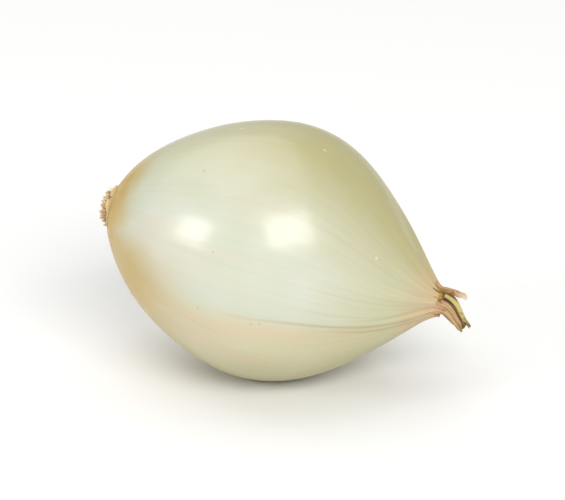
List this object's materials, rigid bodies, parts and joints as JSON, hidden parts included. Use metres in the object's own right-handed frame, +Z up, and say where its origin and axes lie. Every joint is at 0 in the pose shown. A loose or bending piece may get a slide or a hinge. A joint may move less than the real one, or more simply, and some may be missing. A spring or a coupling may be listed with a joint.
{
  "type": "white onion",
  "caption": "Whole white onion lying on its side, its skin drawn up into a tapered neck with a withered leaf tip, and a crust of dry root stubs at the other end.",
  "frame": {"origin": "centre of the bounding box's underside, on the surface that the onion lies on", "axes": "+X from the root end towards the neck, in the level; +Z up; the onion's own axis dips 10 degrees below +X at the neck end"},
  "size_m": [0.11, 0.0756, 0.0735],
  "materials": {
    "onion_skin": "smooth waxy skin, pale greenish cream with fine veins, satin gloss",
    "dry_leaf": "dry papery leaf ends, golden tan with dark creases, matte",
    "dry_root": "dry fibrous root crust, pale tan, matte"
  },
  "bodies": {
    "root": {"bulb": "onion_skin", "leaf_tips": "dry_leaf", "root_crust": "dry_root"}
  },
  "joints": []
}
